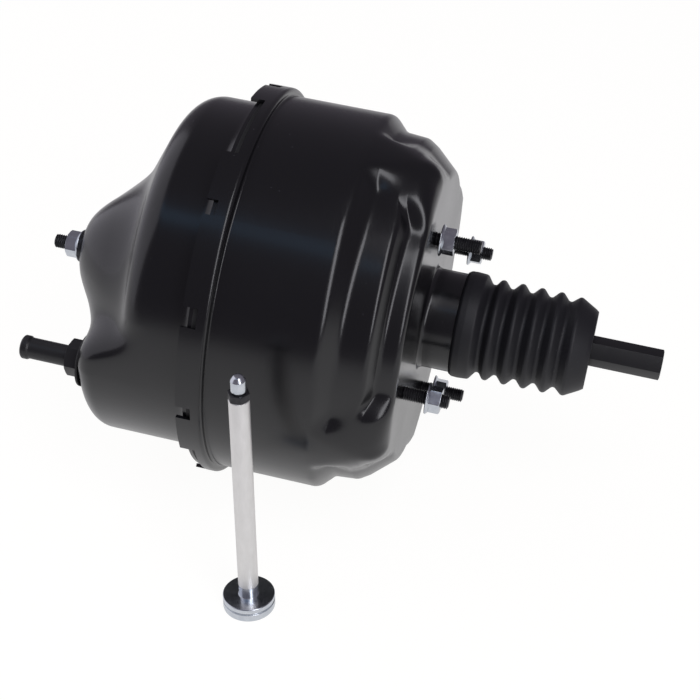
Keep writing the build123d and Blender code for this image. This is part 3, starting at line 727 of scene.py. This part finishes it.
def softenLobeFlanks(shell):
    # the lobe's flanks are rounded where they meet the wall and the face;
    # the lobe lies evenly on both sides of 180 degrees
    f = frontShell
    group = softenGroup(shell, "flanks", f["flankFactor"], f["flankPasses"])
    for vertex in shell.data.vertices:
        x, y, z = vertex.co
        turned = abs(math.degrees(math.atan2(y, x)))
        side = math.hypot(x, y) * math.sin(math.radians(min(max(turned - f["lobeStart"], -90), 90)))
        share = smoothStep((f["flankReach"] - abs(side)) / f["flankFade"])
        share *= smoothStep((-z - f["flankFrom"]) / f["flankRise"])
        share *= smoothStep((math.hypot(x, y) - f["flankInside"]) / f["flankOut"])
        if share > 0:
            group.add([vertex.index], share, "REPLACE")


def makeFrontShell():
    f = frontShell
    turns = f["turns"]
    lines = [frontLine(2 * math.pi * k / turns) for k in range(turns)]
    shell = plainCone("frontShell", len(lines[0]), turns, -1)
    for vertex in shell.data.vertices:
        turn = round(math.degrees(math.atan2(vertex.co.y, vertex.co.x)) * turns / 360) % turns
        r, z = lines[turn][round(-vertex.co.z)]
        angle = 2 * math.pi * turn / turns
        vertex.co = (r * math.cos(angle), r * math.sin(angle), z)
    cleaned(shell, 0)
    softenLobeFlanks(shell)
    wall = shell.modifiers.new("sheet", "SOLIDIFY")
    wall.thickness = f["sheet"]
    wall.offset = -1
    applyAll(shell)
    settle(shell, lying, f["smoothAngle"])
    dress(shell, "booster_body", shellPaint, "front_shell")


makeFrontShell()
print("front shell made")

# Studs and nuts: where each stands across the axis, its ends, and how its nut is seated and turned
stud = {"radius": 3.98, "pitch": 1.25, "offset": 42.5, "smoothAngle": 25}
studSets = {
    "rear": {"places": ((1, 1), (-1, -1), (1, -1), (-1, 1)), "low": 90.0, "high": 123.2,
             "seats": (101.0, 105.0, 109.5, 111.0), "turns": (12, 40, 25, 50), "turnAxis": "Z"},
    "front": {"places": ((0, -1), (0, 1)), "low": -111.0, "high": -85.5,
              "seats": (-95.3, -95.3), "turns": (180, 180), "turnAxis": "X"}}
nut = {
    "flats": 13.0, "height": 8.0, "hexStart": 0.64, "cornerSlope": 0.55, "bore": 3.7, "flangeRadius": 8.8,
    "rimRise": 0.5, "rimTop": 1.1, "coneTop": 2.5, "boreTop": 2.3, "smoothAngle": 30}


def makeStuds(side, facts):
    bars = []
    for x, y in facts["places"]:
        bar = threadedBar("stud", stud["radius"], facts["low"], facts["high"], stud["pitch"])
        bar.data.transform(Matrix.Translation((x * stud["offset"], y * stud["offset"], 0)))
        bars.append(bar)
    joined = settle(joinPieces(bars, side + "Studs"), lying, stud["smoothAngle"])
    dress(joined, "booster_body", blackOxide, side + "_studs")


def makeNut():
    # the hexagon stands on a coned flange; both share a bore
    hexa = hexBar("hexa", nut["flats"], nut["hexStart"], nut["height"], nut["cornerSlope"], nut["bore"])
    r = nut["flangeRadius"]
    flange = lathe("flange", [(nut["bore"], 0, 0), (r - 0.3, 0, 0.2), (r, nut["rimRise"], 0.3),
                              (r - 0.5, nut["rimTop"], 0.5), (nut["flats"] / 2 - 0.2, nut["coneTop"], 0),
                              (nut["bore"], nut["boreTop"], 0)])
    return joinPieces([hexa, flange], "nut")


def makeNuts(model, side, facts):
    pieces = []
    for (x, y), seat, turn in zip(facts["places"], facts["seats"], facts["turns"]):
        copy = model.copy()
        copy.data = model.data.copy()
        bpy.context.scene.collection.objects.link(copy)
        place = Matrix.Translation((x * stud["offset"], y * stud["offset"], seat))
        copy.data.transform(place @ Matrix.Rotation(math.radians(turn), 4, facts["turnAxis"]))
        pieces.append(copy)
    joined = settle(joinPieces(pieces, side + "Nuts"), lying, nut["smoothAngle"])
    dress(joined, "booster_body", zincPlate, side + "_nuts")


for studSide, studFacts in studSets.items():
    makeStuds(studSide, studFacts)
nutModel = makeNut()
for studSide, studFacts in studSets.items():
    makeNuts(nutModel, studSide, studFacts)
bpy.data.objects.remove(nutModel)
print("studs and nuts made")

# Rubber boot
boot = {
    "wall": 1.7, "cuffStart": 116.1, "cuffEnd": 127.0, "cuffRadius": 30.4, "valley": 23.75,
    "folds": 5, "firstRidge": 136.1, "pitch": 11.05, "ridgeRadius": 30.1, "taper": 0.15, "lastRidge": 28.4,
    "ridgeBend": 2.2, "valleyBend": 1.9, "innerBend": 0.6, "cuffLip": 1.2, "cuffRise": 1.6, "cuffBlend": 5.0,
    "end": 191.3, "endRadius": 22.75, "endRise": 2.0, "hole": 15.2, "tailEnd": 187.9, "tailRadius": 21.05,
    "tailStart": 4.8, "steps": 96, "bends": 5, "blendLead": 1.0, "blendTail": 3.0, "smoothAngle": 60}


def makeBoot():
    b = boot
    radius, start = b["cuffRadius"], b["cuffStart"]
    outer = [(radius - b["cuffLip"], start, 0.4), (radius - 0.2, start + b["cuffRise"], 1.6),
             (radius, start + b["cuffBlend"], 4), (radius - 0.4, b["cuffEnd"], 2.0)]
    inner = [(radius - b["wall"], start, 0.4), (radius - b["wall"], b["cuffEnd"], 0.3)]
    valley = (b["cuffEnd"] + b["firstRidge"]) / 2
    for fold in range(b["folds"]):
        z = b["firstRidge"] + fold * b["pitch"]
        r = b["lastRidge"] if fold == b["folds"] - 1 else b["ridgeRadius"] - fold * b["taper"]
        outer += [(b["valley"], valley, b["valleyBend"]), (r, z, b["ridgeBend"])]
        inner += [(b["valley"] - b["wall"], valley, b["innerBend"]), (r - b["wall"], z, b["innerBend"])]
        valley = z + b["pitch"] / 2
    lastRidge = b["firstRidge"] + (b["folds"] - 1) * b["pitch"]
    outer += [(b["endRadius"] + 0.6, b["end"] - b["endRise"], 1.2), (b["endRadius"] - 0.8, b["end"], 0.8),
              (b["hole"], b["end"], 0.6), (b["hole"], b["tailEnd"], 0), (b["tailRadius"], b["tailEnd"], 0),
              (b["tailRadius"], lastRidge + b["tailStart"], 0)]
    cover = lathe("dustBoot", outer + inner[::-1], b["steps"], b["bends"])
    settle(cover, lying, b["smoothAngle"])
    dress(cover, None, bootRubber, "dust_boot")
    low, high = b["cuffEnd"] + b["blendLead"], lastRidge + b["blendTail"]
    blendAlong(cover, ("booster_body", "power_piston"), low, high)


makeBoot()
print("boot made")

# Springs, copied from their CAD meshes and cleaned; the merge distance is in metres, as their CAD meshes are
springForm = {"mergeDistance": 0.000002, "smoothAngle": 60}
springs = {
    "return_spring": {
        "label": "returnSpring", "bodies": ("booster_body", "power_piston"), "ends": (-88.3, -4.0)},
    "rod_return_spring": {
        "label": "rodReturnSpring", "bodies": ("power_piston", "plunger"), "ends": (124.0, 146.0)}}


def makeSpring(springNode, facts):
    coil = bpy.data.objects.new(facts["label"], frame["nodes"][springNode].data.copy())
    bpy.context.scene.collection.objects.link(coil)
    cleaned(coil, springForm["mergeDistance"])
    settle(coil, Matrix.Identity(4), springForm["smoothAngle"])
    dress(coil, None, springWire, springNode)
    blendAlong(coil, facts["bodies"], *facts["ends"])


for springName, springFacts in springs.items():
    makeSpring(springName, springFacts)
print("springs made")

# Pedal end and hose connector
hexEnd = {
    "flats": 15.0, "start": 184.0, "end": 230.8, "cornerSlope": 0.35, "bore": 4.35, "depth": 16.0,
    "lead": 0.8, "smoothAngle": 30}
hose = {
    "radius": 80.0, "angle": 140.0, "face": -77.3, "flats": 18.2, "end": -114.8, "flange": 15.0, "lip": 1.6,
    "grommetBore": 6.5, "grommetBack": 11.0, "grommetWaist": 9.0, "grommetDepth": 4.0, "grommetAngle": 40,
    "collar": 1.2, "collarRadius": 11.0, "hexagon": 7.0, "cornerSlope": 0.4, "bore": 3.8, "tube": 6.0,
    "root": 1.2, "bead": 6.7, "beadRise": 5.0, "beadStart": 3.9, "beadEnd": 0.9, "smoothAngle": 30}


def makeHexEnd():
    h = hexEnd
    bar = hexBar("hexRodEnd", h["flats"], h["start"], h["end"], h["cornerSlope"])
    bore, end, floor, wide = h["bore"], h["end"], h["end"] - h["depth"], h["bore"] + h["lead"]
    drill = [(0, floor, 0), (bore, floor, 0), (bore, end - h["lead"], 0), (wide, end, 0), (wide, end + 1, 0),
             (0, end + 1, 0)]
    carve(bar, lathe("drill", drill, hexForm["boreSteps"]), "DIFFERENCE")
    settle(bar, lying, h["smoothAngle"])
    dress(bar, "pedal_rod", hexPaint, "hex_rod_end")


def makeGrommet(place):
    h = hose
    face, bore, flange = h["face"], h["grommetBore"], h["flange"]
    back, front = face + h["grommetDepth"], face - h["lip"]
    grommet = lathe("hoseGrommet", [(bore, back, 0), (h["grommetBack"], back, 0.5),
                                    (h["grommetWaist"], face + 1, 0), (flange, face, 0.3),
                                    (flange - 0.3, front, 0.9), (bore, front, 0)])
    settle(grommet, place, h["grommetAngle"])
    dress(grommet, "booster_body", sealRubber, "hose_grommet")


def makeConnector(place):
    # a round collar, a hexagon and a stem with one bead, all on one bore
    h = hose
    bore, tube, bead, end, wide = h["bore"], h["tube"], h["bead"], h["end"], h["collarRadius"]
    back = h["face"] - 0.5
    seat = h["face"] - h["lip"] - h["collar"]
    low = seat - h["hexagon"]
    collar = lathe("collar", [(bore, back, 0), (wide - 0.2, back, 0), (wide, seat + 0.1, 0.4),
                              (wide - 0.4, seat - 0.1, 0.2), (bore, seat - 0.1, 0)])
    hexa = hexBar("hexa", h["flats"], low, seat, h["cornerSlope"], bore)
    stem = lathe("stem", [(bore, low + 0.5, 0), (tube + h["root"], low + 0.5, 0), (tube, low - 0.9, 0.8),
                          (tube, end + h["beadRise"], 0.6), (bead, end + h["beadStart"], 0.6),
                          (bead, end + h["beadEnd"], 0.9), (tube - 0.4, end, 0.4), (bore, end, 0)])
    connector = joinPieces([collar, hexa, stem], "hoseConnector")
    settle(connector, place, h["smoothAngle"])
    dress(connector, "booster_body", hosePlastic, "hose_connector")


def makeHose():
    angle = math.radians(hose["angle"])
    aside = Matrix.Translation((hose["radius"] * math.cos(angle), hose["radius"] * math.sin(angle), 0))
    makeGrommet(lying @ aside)
    makeConnector(lying @ aside)


makeHexEnd()
makeHose()
print("pedal end and hose connector made")

# Loose push rod
pushRod = {
    "headRadius": 14.0, "headHeight": 8.4, "headRise": 0.9, "groove": 4.4, "grooveDepth": 0.8,
    "grooveWidth": 1.2, "neckRadius": 5.35, "collarTop": 15.3, "headSteps": 96, "tubeRadius": 5.4,
    "tubeTop": 136.7,
    "nutFlats": 10.0, "nutHeight": 4.2, "cornerSlope": 0.5, "threadRadius": 3.0, "threadDepth": 8.0,
    "tipGap": 0.8, "tipRadius": 4.0, "tipShoulder": 2.6, "tipBevel": 1.6, "tipBends": 6, "top": 150.6,
    "smoothAngle": 30}


def makePushRodPiece(piece, body, material, nodeName):
    settle(piece, upright, pushRod["smoothAngle"])
    dress(piece, body, material, nodeName)


def makePushRod():
    p = pushRod
    r, g, neck, top = p["headRadius"], p["groove"], p["neckRadius"], p["collarTop"]
    floor = r - p["grooveDepth"]
    head = lathe("pushRodHead", [(0, 0, 0), (r - 0.2, 0, 0.6), (r, p["headRise"], 0.3), (r, g, 0.25),
                                 (floor, g + 0.2, 0.2), (floor, g + p["grooveWidth"] - 0.2, 0.2),
                                 (r, g + p["grooveWidth"], 0.25), (r, p["headHeight"] - 0.1, 0.5),
                                 (neck, p["headHeight"], 0.5), (neck, top, 0), (0, top, 0)], p["headSteps"])
    makePushRodPiece(head, "push_rod", zincPlate, "push_rod_head")
    wide, low = p["tubeRadius"], p["tubeTop"]
    shank = lathe("pushRodTube", [(0, top, 0), (wide, top, 0.25), (wide, low, 0.4), (0, low, 0)])
    makePushRodPiece(shank, "push_rod", drawnAluminium, "push_rod_tube")
    high, thin = low + p["nutHeight"], p["threadRadius"]
    lock = hexBar("pushRodLockNut", p["nutFlats"], low, high, p["cornerSlope"], thin)
    makePushRodPiece(lock, "push_rod", blackOxide, "push_rod_lock_nut")
    foot, seat, tipWide, end = high - p["threadDepth"], high + p["tipGap"], p["tipRadius"], p["top"]
    tip = lathe("pushRodTip", [(0, foot, 0), (thin, foot, 0), (thin, seat, 0), (tipWide, seat, 0.3),
                               (tipWide, end - p["tipShoulder"], 1.5), (tipWide - p["tipBevel"], end, 1.6),
                               (0, end, 0)], bends=p["tipBends"])
    makePushRodPiece(tip, "push_rod_tip", zincPlate, "push_rod_tip_screw")


makePushRod()
print("push rod made")

# Floor, light and camera. The floor glows for the camera and, fading with distance, in mirrored rays.
studio = {
    "floorSize": 6.0, "paper": (0.85, 0.85, 0.85, 1), "paperRough": 0.9,
    "glow": (1, 0.996, 0.988, 1), "glowPower": 1.07, "cameraShare": 0.9,
    "mirrorNear": 0.2, "mirrorFar": 1.6, "mirrorShareNear": 0.55, "mirrorShareFar": 0.15,
    "worldColour": (0.92, 0.84, 1.0, 1), "worldPower": 0.17,
    "cameraPlace": (0.1440, -0.7573, 0.5051), "right": (0.97049, 0.24113, -0.00281),
    "down": (0.13416, -0.54955, -0.82462), "forward": (-0.20038, 0.79991, -0.56568),
    "focal": 1625 / 700, "sensor": 36.0, "nearClip": 0.01}
lights = {
    "topStrip": {"place": (-0.3, -0.52, 1.0), "aim": (-0.05, 0, 0), "size": (0.7, 0.14), "power": 0.2,
                 "colour": (0.3, 0.62, 1.0)},
    "leftBox": {"place": (-1.3, 0.1, 0.8), "aim": (0, 0, 0.3), "size": (2.2, 1.9), "power": 9,
                "colour": (0.93, 0.92, 1.0)},
    "rightBox": {"place": (0.68, -0.84, 0.95), "aim": (0, 0, 0), "size": (0.5, 1.9), "power": 11,
                 "colour": (0.95, 0.95, 1.0)}}


def makeFloor():
    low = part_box("push_rod_head")[0].z
    clearSelection()
    bpy.ops.mesh.primitive_plane_add(size=studio["floorSize"], location=(0, 0, low))
    floor = bpy.context.object
    floor.name = "floor"
    material, tree, shader, place = newMaterial("paper")
    shader.inputs["Base Color"].default_value = studio["paper"]
    shader.inputs["Roughness"].default_value = studio["paperRough"]
    glow = tree.nodes.new("ShaderNodeEmission")
    glow.inputs["Color"].default_value = studio["glow"]
    glow.inputs["Strength"].default_value = studio["glowPower"]
    rays = tree.nodes.new("ShaderNodeLightPath")
    seen = mathNode(tree, "MULTIPLY", rays.outputs["Is Camera Ray"], studio["cameraShare"])
    away = tree.nodes.new("ShaderNodeVectorMath")
    away.operation = "LENGTH"
    tree.links.new(place, away.inputs[0])
    fade = spread(tree, away.outputs["Value"], studio["mirrorShareNear"], studio["mirrorShareFar"],
                  studio["mirrorNear"], studio["mirrorFar"])
    mirrored = mathNode(tree, "MULTIPLY", rays.outputs["Is Glossy Ray"], fade)
    share = mathNode(tree, "MAXIMUM", seen, mirrored)
    mixed = mixShaders(tree, share, shader.outputs["BSDF"], glow.outputs["Emission"])
    tree.links.new(mixed, tree.nodes["Material Output"].inputs["Surface"])
    floor.data.materials.append(material)


def makeLight(name, facts):
    light = bpy.data.lights.new(name, "AREA")
    light.shape = "RECTANGLE"
    light.color = facts["colour"]
    light.size, light.size_y = facts["size"]
    light.energy = facts["power"]
    lamp = bpy.data.objects.new(name, light)
    bpy.context.scene.collection.objects.link(lamp)
    lamp.location = facts["place"]
    aim = Vector(facts["aim"]) - Vector(facts["place"])
    lamp.rotation_euler = aim.to_track_quat("-Z", "Y").to_euler()


def makeWorld():
    world = bpy.data.worlds.new("studioWorld")
    bpy.context.scene.world = world
    world.use_nodes = True
    tree = world.node_tree
    back = tree.nodes["Background"]
    back.inputs["Color"].default_value = studio["worldColour"]
    back.inputs["Strength"].default_value = studio["worldPower"]
    white = tree.nodes.new("ShaderNodeBackground")
    white.inputs["Color"].default_value = (1, 1, 1, 1)
    white.inputs["Strength"].default_value = 1.0
    rays = tree.nodes.new("ShaderNodeLightPath")
    mixed = mixShaders(tree, rays.outputs["Is Camera Ray"], back.outputs["Background"],
                       white.outputs["Background"])
    tree.links.new(mixed, tree.nodes["World Output"].inputs["Surface"])


def makeCamera():
    lens = bpy.data.cameras.new("camera")
    lens.sensor_width = studio["sensor"]
    lens.lens = studio["sensor"] * studio["focal"]
    lens.clip_start = studio["nearClip"]
    camera = bpy.data.objects.new("camera", lens)
    bpy.context.scene.collection.objects.link(camera)
    right, down, forward = (Vector(studio[way]) for way in ("right", "down", "forward"))
    rows = [[right[i], -down[i], -forward[i], studio["cameraPlace"][i]] for i in range(3)]
    camera.matrix_world = Matrix(rows + [[0, 0, 0, 1]])
    bpy.context.scene.camera = camera


makeFloor()
for lightName, lightFacts in lights.items():
    makeLight(lightName, lightFacts)
makeWorld()
makeCamera()
bpy.context.scene.view_settings.view_transform = "Standard"
print("studio ready")
